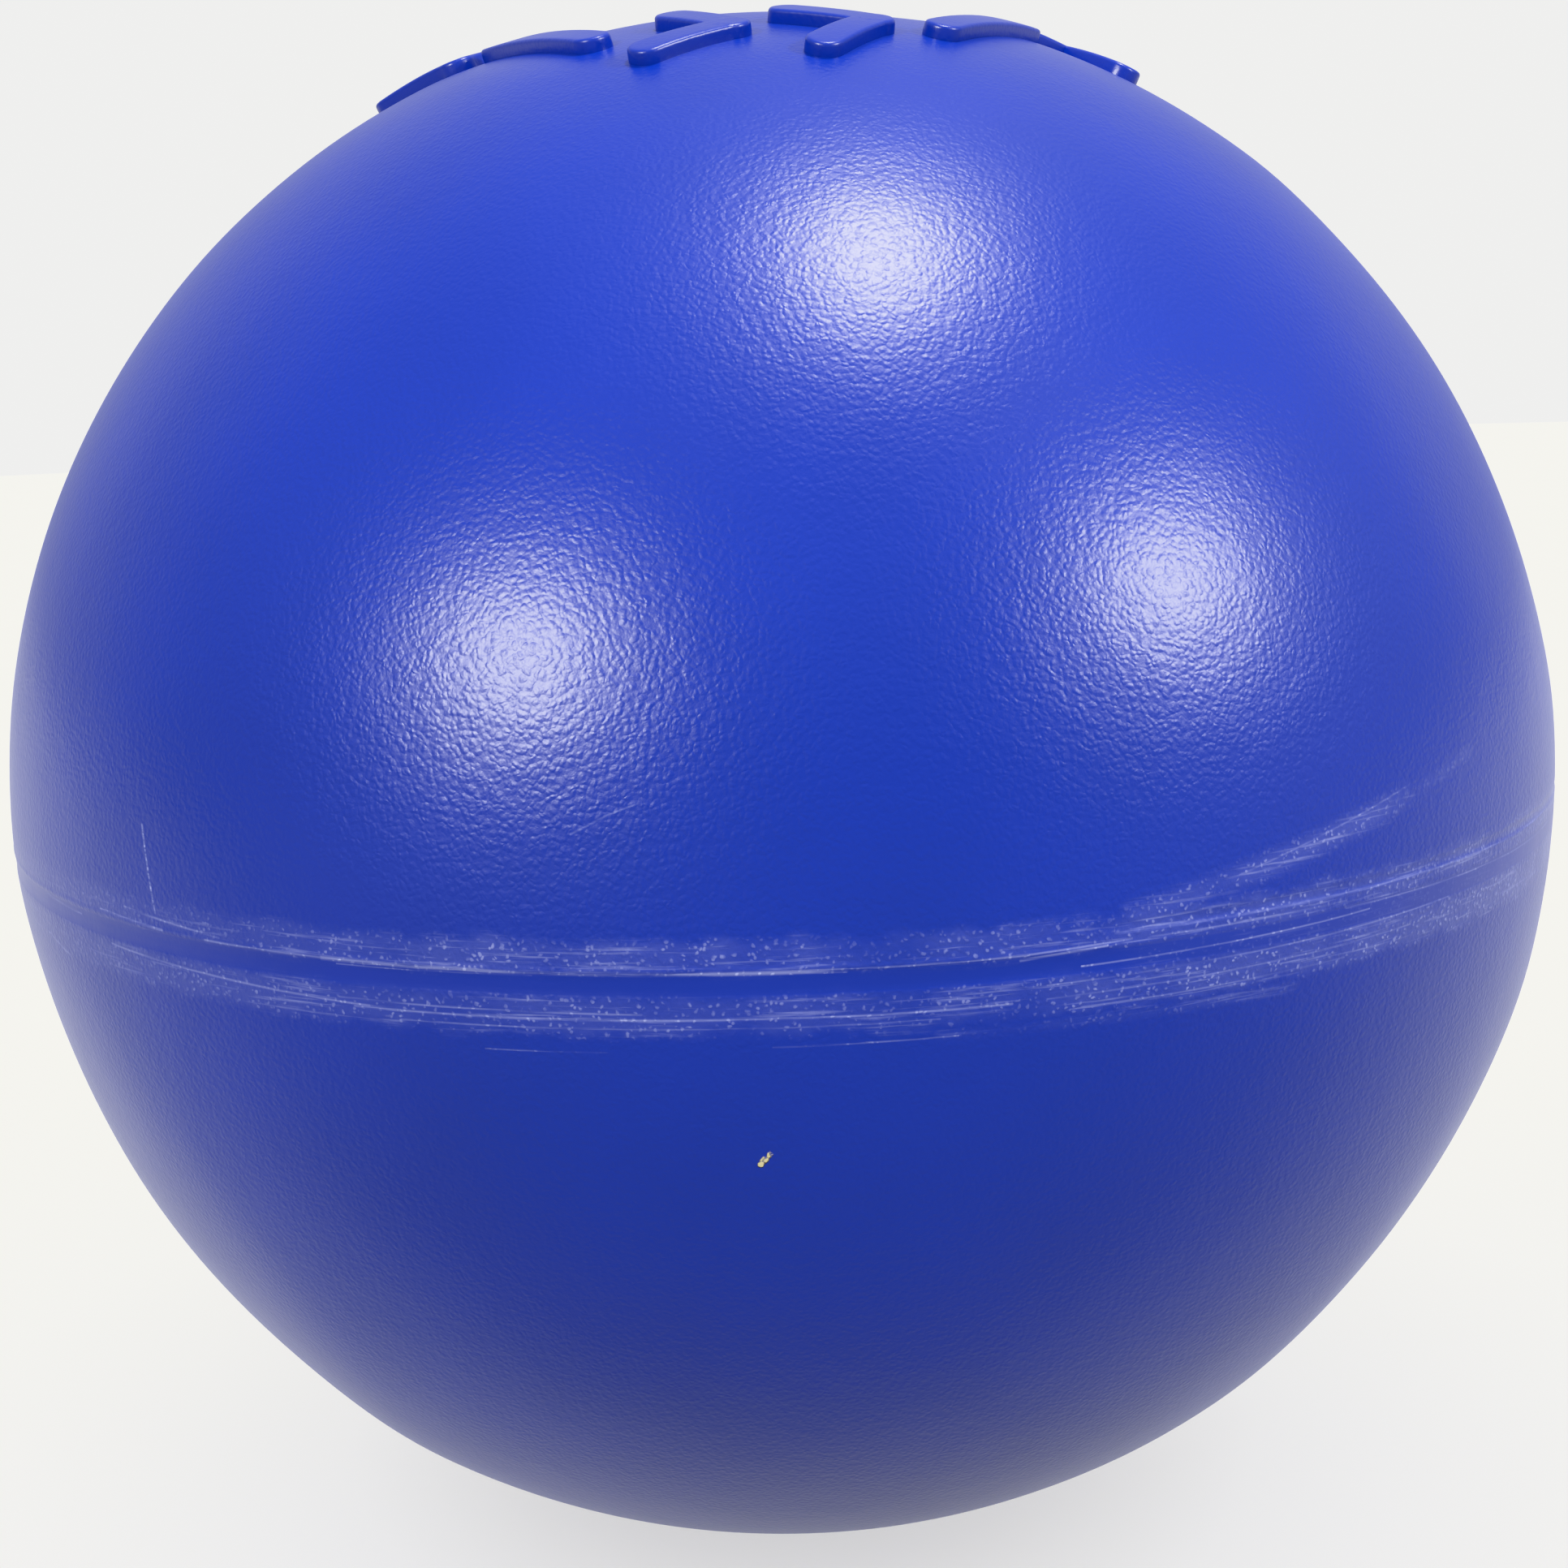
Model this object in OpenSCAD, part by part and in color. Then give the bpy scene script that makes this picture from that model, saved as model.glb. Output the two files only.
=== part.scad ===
// Weighted exercise ball: two moulded vinyl half shells welded at the equator,
// filled with loose sand through a plugged collar at the bottom.
// Z = 0 is the flat land that the ball rests on, and +Z runs up through its top.

/* [Ball] */
// Diameter at the equator
ball_d = 150; // [140:1:200]
// How much shorter each pole's half height is than the equator's radius
pole_drop = 1; // [0.5:0.5:3]
// Thickness of the moulded skin
wall = 5.5; // [4.5:0.5:6]
// Diameter of the flat land at the bottom
land_d = 30; // [26:1:40]

/* [Seam] */
// Width of the trimmed weld at the surface
weld_w = 6; // [3:0.5:8]
// Depth of the weld's V groove
weld_depth = 1.8; // [1:0.2:2.2]
// Height of the lower half's locating spigot
spigot_h = 4; // [2:0.5:6]
// Thickness of the locating spigot
spigot_t = 2; // [1.5:0.1:2]

/* [Filler] */
// Diameter of the collar's bore
bore_d = 8.4; // [7:0.2:9]
// Outside diameter of the collar's barrel
barrel_d = 14.8; // [14.6:0.2:16]
// Outside diameter of the collar's flange
flange_d = 18.8; // [18:0.2:20]
// Distance from the land up to the collar's face
face_recess = 0.8; // [0.5:0.1:1.2]
// Distance from the land up to the collar's inner end
collar_top = 11; // [10.5:0.5:14]
// Diameter of the boss that holds the collar
boss_d = 26; // [24:1:32]

/* [Raised marks] */
// Width of a raised stroke
stroke_w = 3.4; // [2:0.2:4]
// Height of a raised stroke above the skin
stroke_h = 1.2; // [0.6:0.1:1.6]
// Number of pairs of arrowheads, and of bars between them, round the pole
mark_repeats = 4; // [3:1:4]
// Angle from the pole to the middle of the ring of marks
ring_angle = 22.5; // [22:0.5:26]

/* [Filling] */
// Height of the sand's level surface above the equator
fill_level = 19; // [0:1:40]

/* [Hidden] */
$fn = 180;

ball_r = ball_d / 2;
arc_r = ball_r - pole_drop;
land_r = land_d / 2;
// Height of the equator above the land
equator_z = sqrt(pow(arc_r, 2) - pow(land_r - pole_drop, 2));

flange_t = 2;
seat_recess = 1.6;
seat_d = 14.4;
seat_z = face_recess + seat_recess;
groove_depth = 1.2;
groove_mid_r = 5.8;
groove_w = 1.8;
head_d = 14;
head_gap = 0.1;
shank_gap = 0.1;
barb_d = 10;
barb_tip_d = 6.4;
barb_h = 2.8;
dimple_d = 3;
dimple_depth = 0.5;
boss_taper = 4;

front_turn = -88;
arm_length = ball_d * 8.6 / 150;
arm_lean = 46;
// Angle that one arm spans between the ring's middle and its edge
arm_angle = arm_length * cos(arm_lean) / ball_r * 180 / PI;
arrow_gap = 24;
bar_length = ball_d * 18 / 150;
bar_rise = 1.5;
bar_tilt = 16;
mark_sink = 2;
over = 20;

vinyl_blue = "#2A40C4";
weld_blue = "#2438B4";
collar_blue = "#2335A0";
plug_white = "#D9DCE3";
seal_black = "#1C1D20";
sand_tan = "#B59D74";

// Half of the ball's upright section, grown outwards by the given amount
module ball_section(grow = 0) {
    intersection() {
        union() {
            translate([pole_drop, equator_z]) circle(r = arc_r + grow);
            translate([0, equator_z - arc_r - grow]) square([pole_drop, 2 * (arc_r + grow)]);
        }
        square([ball_r + over, 2 * ball_r + over]);
    }
}

// The same section between two heights
module section_between(low, high, grow = 0) {
    intersection() {
        ball_section(grow);
        translate([0, low]) square([ball_r + over, high - low]);
    }
}

// The V that the weld fills, pointing in from the surface
module weld_section() {
    intersection() {
        ball_section();
        polygon([
            [ball_r - weld_depth, equator_z],
            [ball_r + weld_depth, equator_z + weld_w],
            [ball_r + weld_depth, equator_z - weld_w]
        ]);
    }
}

// Part of the lower half that reaches up inside the upper half
module spigot_section() {
    difference() {
        translate([0, equator_z]) square([ball_r - wall + spigot_t, spigot_h]);
        ball_section(-wall);
    }
}

// Outline of the boss, from the land to the collar's inner end
module boss_section() {
    polygon([
        [0, 0],
        [boss_d / 2 + boss_taper, 0],
        [boss_d / 2 + boss_taper, wall],
        [boss_d / 2, wall + boss_taper],
        [boss_d / 2, collar_top],
        [0, collar_top]
    ]);
}

// Outline of the space that the collar takes out of the lower half
module collar_pocket() {
    square([flange_d / 2, face_recess + flange_t]);
    square([barrel_d / 2, collar_top]);
}

// The plug's barbed inner end
module barb_section() {
    polygon([
        [0, collar_top],
        [barb_d / 2, collar_top],
        [barb_tip_d / 2, collar_top + barb_h],
        [0, collar_top + barb_h]
    ]);
}

// A straight stroke with round ends, standing out from the ball along +Z
module stroke(length) {
    translate([0, 0, ball_r - mark_sink]) linear_extrude(mark_sink + over) {
        square([length, stroke_w], center = true);
        for (side = [-1, 1]) translate([side * length / 2, 0]) circle(d = stroke_w);
    }
}

// Puts its children on the ball at an angle from the pole and a turn about it
module on_ball(from_pole, turn) {
    translate([0, 0, equator_z]) rotate([0, 0, turn]) rotate([0, from_pole, 0]) children();
}

// An arrowhead of two strokes, its point leading round the ring
module arrowhead(turn) {
    for (side = [-1, 1]) {
        on_ball(ring_angle + side * arm_angle / 2, turn)
            rotate([0, 0, 90 + side * arm_lean]) stroke(arm_length);
    }
}

// The whole ring of marks, as tall blocks that reach past the ball's surface
module mark_blocks() {
    for (i = [0:mark_repeats - 1]) {
        group_turn = front_turn + i * 360 / mark_repeats;
        for (side = [-1, 1]) arrowhead(group_turn + side * arrow_gap / 2);
        on_ball(ring_angle - bar_rise, group_turn + 180 / mark_repeats)
            rotate([0, 0, 90 + (i % 2 == 0 ? bar_tilt : -bar_tilt)]) stroke(bar_length);
    }
}

module upper_shell() {
    color(vinyl_blue) {
        rotate_extrude() difference() {
            section_between(equator_z, equator_z + ball_r);
            ball_section(-wall);
            weld_section();
            translate([0, equator_z]) square([ball_r - wall + spigot_t, spigot_h]);
        }
        intersection() {
            rotate_extrude() ball_section(stroke_h);
            mark_blocks();
        }
    }
}

module lower_shell() {
    color(vinyl_blue) rotate_extrude() difference() {
        union() {
            difference() {
                section_between(0, equator_z);
                ball_section(-wall);
                weld_section();
            }
            spigot_section();
            intersection() {
                boss_section();
                section_between(0, equator_z);
            }
        }
        collar_pocket();
    }
}

module seam_weld() {
    color(weld_blue) rotate_extrude() weld_section();
}

module filler_bush() {
    color(collar_blue) rotate_extrude() difference() {
        union() {
            translate([0, face_recess]) square([flange_d / 2, flange_t]);
            translate([0, face_recess]) square([barrel_d / 2, collar_top - face_recess]);
        }
        square([bore_d / 2, collar_top]);
        square([seat_d / 2, seat_z]);
        translate([groove_mid_r - groove_w / 2, 0]) square([groove_w, seat_z + groove_depth]);
    }
}

module filler_plug() {
    color(plug_white) rotate_extrude() difference() {
        union() {
            translate([0, face_recess + head_gap]) square([head_d / 2, seat_recess - head_gap]);
            translate([0, seat_z]) square([bore_d / 2 - shank_gap, collar_top - seat_z]);
            barb_section();
        }
        square([dimple_d / 2, face_recess + head_gap + dimple_depth]);
    }
}

module plug_seal() {
    color(seal_black) rotate_extrude() {
        translate([groove_mid_r, seat_z + groove_depth / 2]) circle(d = groove_depth);
    }
}

module sand_fill() {
    color(sand_tan) rotate_extrude() difference() {
        section_between(0, equator_z + fill_level, -wall);
        boss_section();
        barb_section();
    }
}

upper_shell();
lower_shell();
seam_weld();
filler_bush();
filler_plug();
plug_seal();
sand_fill();
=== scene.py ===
"""Looks of a small sand-filled vinyl exercise ball: two moulded half shells, the trimmed weld
between them, the ring of raised strokes round the top, the filler fittings and the sand."""
import math

import bmesh
import bpy
from bpy.props import FloatProperty, FloatVectorProperty, IntProperty, PointerProperty
from mathutils import Matrix, Vector


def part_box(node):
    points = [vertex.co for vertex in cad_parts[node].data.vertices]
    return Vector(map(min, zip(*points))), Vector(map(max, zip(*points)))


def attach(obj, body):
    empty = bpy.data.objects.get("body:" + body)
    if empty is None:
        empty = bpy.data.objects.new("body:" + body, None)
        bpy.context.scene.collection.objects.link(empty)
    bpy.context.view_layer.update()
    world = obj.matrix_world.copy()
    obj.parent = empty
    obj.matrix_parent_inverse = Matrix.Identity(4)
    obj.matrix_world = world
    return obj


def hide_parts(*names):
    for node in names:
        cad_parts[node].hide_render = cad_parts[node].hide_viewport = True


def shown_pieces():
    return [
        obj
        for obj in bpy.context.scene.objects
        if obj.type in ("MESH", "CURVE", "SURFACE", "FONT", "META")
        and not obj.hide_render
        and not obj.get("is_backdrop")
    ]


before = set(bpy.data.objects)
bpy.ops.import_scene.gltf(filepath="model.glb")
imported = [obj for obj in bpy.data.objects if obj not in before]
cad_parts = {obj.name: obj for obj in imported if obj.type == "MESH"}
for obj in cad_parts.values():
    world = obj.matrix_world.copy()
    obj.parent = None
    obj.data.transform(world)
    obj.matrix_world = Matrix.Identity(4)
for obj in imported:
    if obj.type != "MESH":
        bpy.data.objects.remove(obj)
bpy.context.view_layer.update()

bl_info = {
    "name": "Vinyl Exercise Ball",
    "version": (1, 0, 0),
    "blender": (4, 5, 0),
    "location": "View3D > Sidebar > Ball",
    "description": "Builds the skin, weld, fittings and filling of a sand-filled exercise ball",
    "category": "Mesh",
}

MM = 0.001


def size_of(node):
    """Diameter, lowest and highest point of one CAD node, in metres."""
    low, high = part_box(node)
    return high[0] - low[0], low[2], high[2]


BALL_D, _, BALL_TOP = size_of("upper_shell")
_, WELD_LOW, WELD_HIGH = size_of("seam_weld")
COLLAR_D, COLLAR_FACE, COLLAR_TOP = size_of("filler_bush")
PLUG_D, PLUG_FACE, PLUG_TIP = size_of("filler_plug")
SEAL_D, SEAL_LOW, SEAL_HIGH = size_of("plug_seal")
PLUG_HEAD_R = PLUG_D / 2
SAND_D, _, SAND_TOP = size_of("sand_fill")
EQUATOR_Z = (WELD_LOW + WELD_HIGH) / 2
BALL_R = BALL_D / 2
ARC_R = BALL_TOP - EQUATOR_Z
POLE_DROP = BALL_R - ARC_R
CENTRE = Vector((0, 0, EQUATOR_Z))

# Points round the skin, and round the weld, whose finer detail needs a whole multiple of them.
SKIN_TURNS = 480
WELD_TURNS = 3 * SKIN_TURNS


# ---------------------------------------------------------------- settings

def linear(hex_code):
    """The linear RGBA colour of an sRGB hex value."""
    parts = [int(hex_code[i:i + 2], 16) / 255 for i in (1, 3, 5)]
    return tuple(c / 12.92 if c <= 0.04045 else ((c + 0.055) / 1.055) ** 2.4 for c in parts) + (1.0,)


def length(label, text, default):
    """A length setting, given in metres."""
    return FloatProperty(name=label, description=text, default=default, min=0.0, unit="LENGTH", precision=5)


def number(label, text, default, **extra):
    """A plain number setting."""
    return FloatProperty(name=label, description=text, default=default, **extra)


def angle(label, text, degrees):
    """An angle setting, given in degrees."""
    return FloatProperty(name=label, description=text, default=math.radians(degrees), unit="ROTATION")


def share(label, text, default):
    """A setting from 0 to 1."""
    return FloatProperty(name=label, description=text, default=default, min=0.0, max=1.0, subtype="FACTOR")


def colour(label, text, hex_code):
    """A colour setting, given as an sRGB hex value."""
    return FloatVectorProperty(name=label, description=text, default=linear(hex_code), size=4,
                               min=0.0, max=1.0, subtype="COLOR")


class BallShape(bpy.types.PropertyGroup):
    """Sizes of the skin, the weld and the raised strokes."""
    wall: length("Wall", "Thickness of the moulded skin", BALL_R - SAND_D / 2)
    weld_depth: length("Weld depth", "Depth of the weld's V groove", 1.8 * MM)
    spigot_height: length("Spigot height", "How far the lower half reaches up inside the upper", 4 * MM)
    spigot_wall: length("Spigot wall", "Thickness of the locating spigot", 2 * MM)
    trim_depth: length("Trim depth", "How deep the knife cut under the weld's lip", 0.07 * MM)
    lip_height: length("Lip height", "How far the weld's trimmed lip stands proud", 0.05 * MM)
    stroke_width: length("Stroke width", "Width of a raised stroke", 3.4 * MM)
    stroke_height: length("Stroke height", "How far a stroke stands out of the skin", 1.2 * MM)
    arm_length: length("Arm length", "Length of one arm of an arrowhead", 8.6 * MM)
    bar_length: length("Bar length", "Length of a bar between two pairs of arrowheads", 18 * MM)
    arm_lean: angle("Arm lean", "Lean of an arm from the ring's direction", 46)
    bar_tilt: angle("Bar tilt", "Tilt of a bar from the ring's direction", 16)
    bar_rise: angle("Bar rise", "How much nearer the pole a bar sits than the arrowheads", 1.5)
    ring_angle: angle("Ring angle", "Angle from the pole to the middle of the ring of strokes", 22.5)
    arrow_gap: angle("Arrow gap", "Turn between the two arrowheads of a pair", 24)
    front_turn: angle("Front turn", "Turn of the first pair of arrowheads about the pole", -88)
    repeats: IntProperty(name="Repeats", description="Pairs of arrowheads round the pole", default=4, min=1,
                         max=8)


class FillerShape(bpy.types.PropertyGroup):
    """Sizes of the filler boss, collar, plug and sealing ring."""
    boss_radius: length("Boss radius", "Radius of the boss that holds the collar", 13 * MM)
    boss_taper: length("Boss taper", "Size of the slope between the boss and the skin", 4 * MM)
    barrel_radius: length("Barrel radius", "Outside radius of the collar's barrel", 7.4 * MM)
    bore_radius: length("Bore radius", "Radius of the collar's bore", 4.2 * MM)
    flange: length("Flange", "Thickness of the collar's flange", 2 * MM)
    seat_radius: length("Seat radius", "Radius of the seat for the plug's head", 7.2 * MM)
    seat_depth: length("Seat depth", "Depth of the seat for the plug's head", 1.6 * MM)
    groove_width: length("Groove width", "Width of the groove that holds the sealing ring", 1.8 * MM)
    shank_gap: length("Shank gap", "Gap between the plug's shank and the bore", 0.1 * MM)
    barb_radius: length("Barb radius", "Widest radius of the plug's barb", 5 * MM)
    barb_tip_radius: length("Barb tip radius", "Radius of the barb's end", 3.2 * MM)
    dimple_radius: length("Dimple radius", "Radius of the gate dimple in the plug's head", 1.5 * MM)
    dimple_depth: length("Dimple depth", "Depth of the gate dimple", 0.5 * MM)
    edge: length("Edge", "Radius of the fittings' moulded edges", 0.3 * MM)


class SkinFinish(bpy.types.PropertyGroup):
    """Colours and surface sizes of the materials."""
    vinyl: colour("Vinyl", "Pigmented soft vinyl of the skin", "#142E99")
    vinyl_deep: colour("Vinyl, deep", "Darker patches of the same vinyl", "#122A8A")
    # The same pale colour also paints the highlight along the weld's edge.
    scuffed_and_highlight: colour("Scuffed vinyl", "Whitened vinyl where it was trimmed or rubbed", "#AEB6EA")
    straw: colour("Straw", "Chip of straw-coloured dirt stuck to the skin", "#C6BE98")
    collar: colour("Collar", "Rigid vinyl of the filler collar", "#1D2F94")
    plug: colour("Plug", "Natural polyethylene of the filler plug", "#D5D9E0")
    seal: colour("Seal", "Black nitrile rubber of the sealing ring", "#18191B")
    sand: colour("Sand", "Dry quartz sand", "#C2AA7C")
    grain_pitch: length("Grain pitch", "Spacing of the skin's moulded leather grain", 0.46 * MM)
    grain_height: length("Grain height", "Height of the skin's moulded leather grain", 0.031 * MM)
    chip_height: length("Chip height", "Height of the chip of dirt", 0.16 * MM)
    haze: share("Haze", "How far the rubbed bands are whitened all over", 0.07)
    roughness: share("Roughness", "Roughness of the moulded skin between its grain", 0.33)


class Studio(bpy.types.PropertyGroup):
    """Camera, lamps, room and floor."""
    camera_height: angle("Camera height", "Camera's angle above the equator", 10.4)
    camera_roll: angle("Camera roll", "Camera's roll about its view", -2.0)
    camera_reach: number("Camera reach", "Camera's distance in ball radii", 3.0)
    lens: number("Lens", "Focal length on a 36 mm sensor", 50.2, unit="CAMERA")
    shift: FloatVectorProperty(name="Shift", description="Camera shift", default=(0.0012, -0.0113), size=2)
    lamp_reach: length("Lamp reach", "Distance from the ball to each lamp", 0.9)
    lamp_size: length("Lamp size", "Diameter of each lamp's face", 0.11)
    lamp_colour: colour("Lamp colour", "Slightly warm light of the lamps", "#FFFDF2")
    lamp_power: number("Lamp power", "Power of each lamp", 6.2, unit="POWER")
    soft_reach: length("Soft lamp reach", "Height of the soft lamp above the ball's centre", 1.2)
    soft_size: length("Soft lamp size", "Diameter of the soft lamp's face", 1.0)
    soft_power: number("Soft lamp power", "Power of the soft lamp overhead", 4.0, unit="POWER")
    floor_light: number("Floor light", "Strength of the floor's own light", 2.0)
    floor_radius: length("Floor radius", "Radius of the round floor", 3.0)
    floor: colour("Floor", "Pale painted floor", "#F8F8F7")
    room: colour("Room", "Pale room round the ball", "#FBFBFA")
    backdrop: number("Backdrop", "Brightness of the room as the camera sees it", 1.05)
    room_near: number("Room, near side", "Light from behind the camera", 0.8)
    room_far: number("Room, far side", "Light from beyond the ball", 0.7)
    below_near: number("Below, near side", "Light from below, in front", 0.16)
    below_far: number("Below, far side", "Light from below, beyond the ball", 0.5)


SETTINGS = {"ball_shape": BallShape, "filler_shape": FillerShape, "skin_finish": SkinFinish,
            "studio": Studio}


# ---------------------------------------------------------------- nodes and meshes

MATH, VECTOR, RANGE = "ShaderNodeMath", "ShaderNodeVectorMath", "ShaderNodeMapRange"
SPLIT, JOIN = "ShaderNodeSeparateXYZ", "ShaderNodeCombineXYZ"
NOISE, CELLS, BLEND = "ShaderNodeTexNoise", "ShaderNodeTexVoronoi", "ShaderNodeMix"
GEOMETRY, SHADER = "GeometryNodeTree", "ShaderNodeTree"
SHAPE_GROUP, PAINT_GROUP = "GeometryNodeGroup", "ShaderNodeGroup"
SHAPE, NUMBER, WHOLE = "NodeSocketGeometry", "NodeSocketFloat", "NodeSocketInt"
ARROW, FINISH = "NodeSocketVector", "NodeSocketMaterial"


def add(tree, kind, inputs=(), **settings):
    """Adds a node with its settings and inputs, and returns its outputs.

    The inputs come in order or by name, as values, sockets or another node's outputs, which stand
    for the first of them in use."""
    node = tree.nodes.new(kind)
    for name, value in settings.items():
        setattr(node, name, value)
    for key, value in inputs.items() if isinstance(inputs, dict) else enumerate(inputs):
        if isinstance(value, bpy.types.bpy_prop_collection):
            value = next(socket for socket in value if socket.enabled)
        if isinstance(value, bpy.types.NodeSocket):
            tree.links.new(value, node.inputs[key])
        else:
            node.inputs[key].default_value = value
    return node.outputs


def new_group(name, kind, inputs, outputs):
    """An empty node group with named sockets, and its input sockets."""
    tree = bpy.data.node_groups.new(name, kind)
    for label, socket_type, default in inputs:
        socket = tree.interface.new_socket(label, in_out="INPUT", socket_type=socket_type)
        if default is not None:
            socket.default_value = default
    for label, socket_type in outputs:
        tree.interface.new_socket(label, in_out="OUTPUT", socket_type=socket_type)
    return tree, add(tree, "NodeGroupInput")


def once(build):
    """Makes a node group the first time that it is asked for, and then returns the same one."""
    made = {}

    def ask(*kinds):
        if kinds not in made:
            made[kinds] = build(*kinds)
        return made[kinds]

    return ask


def smooth(obj, hard_edge=math.radians(32)):
    """Shades a mesh smooth and marks its hard edges."""
    obj.data.polygons.foreach_set("use_smooth", [True] * len(obj.data.polygons))
    obj.data.set_sharp_from_angle(angle=hard_edge)


def as_object(name, bm):
    """A scene object from a bmesh, smooth apart from its hard edges."""
    mesh = bpy.data.meshes.new(name)
    bm.to_mesh(mesh)
    bm.free()
    obj = bpy.data.objects.new(name, mesh)
    bpy.context.scene.collection.objects.link(obj)
    smooth(obj)
    return obj


def settle(obj):
    """Turns an object's modifiers into its plain mesh and removes them."""
    rough = obj.data
    depsgraph = bpy.context.evaluated_depsgraph_get()
    finished = bpy.data.meshes.new_from_object(obj.evaluated_get(depsgraph))
    obj.modifiers.clear()
    obj.data = finished
    bpy.data.meshes.remove(rough)
    smooth(obj)


def grow(obj, tree, **values):
    """Runs a geometry tree on an object with the given inputs and keeps the result as its mesh."""
    modifier = obj.modifiers.new(tree.name, "NODES")
    modifier.node_group = tree
    for item in tree.interface.items_tree:
        key = item.name.lower().replace(" ", "_")
        if item.in_out == "INPUT" and key in values:
            modifier[item.identifier] = values[key]
    settle(obj)


def lathe(name, outline, turns):
    """Turns an outline of (radius, height) points about the upright axis.

    The outline runs down the outside first. With both ends on the axis it makes a closed body, and
    otherwise its ends are joined into a ring."""
    bm = bmesh.new()
    rings = []
    for radius, height in outline:
        spots = [2 * math.pi * i / turns for i in range(turns)] if radius > 0 else [0.0]
        rings.append([bm.verts.new((radius * math.cos(a), radius * math.sin(a), height)) for a in spots])
    pairs = list(zip(rings, rings[1:]))
    if len(rings[0]) > 1:
        pairs.append((rings[-1], rings[0]))
    for upper, lower in pairs:
        for i in range(turns):
            j = i + 1
            corners = [ring[k % len(ring)] for ring, k in ((upper, i), (lower, i), (lower, j), (upper, j))]
            bm.faces.new(list(dict.fromkeys(corners)))
    return as_object(name, bm)


def arc(radius, start, stop, step):
    """Points along the ball's upright section, between two angles from the top pole."""
    count = max(1, math.ceil(abs(stop - start) * radius / step))
    turns = [start + (stop - start) * i / count for i in range(count + 1)]
    return [(POLE_DROP + radius * math.sin(t), EQUATOR_Z + radius * math.cos(t)) for t in turns]


def rounded(outline, radius, steps=3):
    """An outline with the corners between its two ends rounded."""
    result = [outline[0]]
    for before, corner, after in zip(outline, outline[1:], outline[2:]):
        here = Vector(corner)
        legs = [Vector(other) - here for other in (before, after)]
        reach = min(radius, *(leg.length * 0.45 for leg in legs))
        start, stop = (here + leg.normalized() * reach for leg in legs)
        for i in range(steps + 1):
            t = i / steps
            result.append(tuple(start * (1 - t) ** 2 + here * (2 * t * (1 - t)) + stop * t ** 2))
    return result + [outline[-1]]


def from_pole(radius, height):
    """Angle from the top pole at which the ball's section of that radius has a height."""
    return math.acos((height - EQUATOR_Z) / radius)


def on_ball(turn, pole_angle):
    """Unit vector from the ball's centre, for a turn from the front and an angle from the top pole."""
    return Vector((math.sin(pole_angle) * math.sin(turn), -math.sin(pole_angle) * math.cos(turn),
                   math.cos(pole_angle)))


# ---------------------------------------------------------------- geometry trees

# Where the soft skin has settled out of true: turn from the front and angle from the top pole, in
# degrees, then depth in mm and reach in degrees.
DENTS = [(-20, 6, 0.8, 24), (-68, 118, 0.75, 30), (72, 124, 0.5, 24), (70, 62, 0.4, 24), (160, 60, 0.5, 34)]
# The ripple that runs over the whole skin.
RIPPLE_WIDTH = 26 * MM
RIPPLE_DEPTH = 0.14 * MM


@once
def band_group(kind):
    """Node group that is 1 where a value lies between two others and fades to 0 past them."""
    tree, given = new_group(
        "Band", kind,
        [("Value", NUMBER, None), ("Low", NUMBER, 0.0), ("High", NUMBER, 1.0), ("Soft", NUMBER, 0.1)],
        [("Mask", NUMBER)])
    sides = []
    for limit, outer, inner in (("Low", "SUBTRACT", "ADD"), ("High", "ADD", "SUBTRACT")):
        start = add(tree, MATH, [given[limit], given["Soft"]], operation=outer)
        stop = add(tree, MATH, [given[limit], given["Soft"]], operation=inner)
        sides.append(add(tree, RANGE, {"Value": given["Value"], "From Min": start, "From Max": stop},
                         interpolation_type="SMOOTHSTEP"))
    add(tree, "NodeGroupOutput", [add(tree, MATH, sides, operation="MULTIPLY")])
    return tree


@once
def dents_group():
    """Geometry group that presses the soft skin in at a few broad places and ripples it a little."""
    tree, given = new_group("Soft dents", GEOMETRY, [("Geometry", SHAPE, None)], [("Geometry", SHAPE)])
    place = add(tree, "GeometryNodeInputPosition")
    from_centre = add(tree, VECTOR, [place, CENTRE], operation="SUBTRACT")
    outwards = add(tree, VECTOR, [from_centre], operation="NORMALIZE")
    ripple = add(tree, NOISE, {"Vector": place, "Scale": 1 / RIPPLE_WIDTH, "Detail": 1.0})
    total = add(tree, RANGE, {"Value": ripple, "To Min": -RIPPLE_DEPTH, "To Max": RIPPLE_DEPTH})
    # The land that the ball stands on stays flat.
    clear_of_land = add(tree, RANGE, {"Value": add(tree, SPLIT, [place])["Z"], "From Min": 4 * MM,
                                      "From Max": 20 * MM})
    total = add(tree, MATH, [total, clear_of_land], operation="MULTIPLY")
    for turn, pole_angle, depth, reach in DENTS:
        toward = on_ball(math.radians(turn), math.radians(pole_angle))
        facing = add(tree, VECTOR, [outwards, toward], operation="DOT_PRODUCT")
        dent = add(tree, RANGE, {"Value": facing, "From Min": math.cos(math.radians(reach)),
                                 "To Max": -depth * MM}, interpolation_type="SMOOTHERSTEP")
        total = add(tree, MATH, [total, dent], operation="ADD")
    offset = add(tree, VECTOR, {"Vector": outwards, "Scale": total}, operation="SCALE")
    pressed = add(tree, "GeometryNodeSetPosition", {"Geometry": given, "Offset": offset})
    add(tree, "NodeGroupOutput", [pressed])
    return tree


def finish_tree(tree, shape, given):
    """Ends a geometry tree with realised instances and its material."""
    solid = add(tree, "GeometryNodeRealizeInstances", [shape])
    painted = add(tree, "GeometryNodeSetMaterial", {"Geometry": solid, "Material": given["Material"]})
    add(tree, "NodeGroupOutput", [painted])
    return tree


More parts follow.
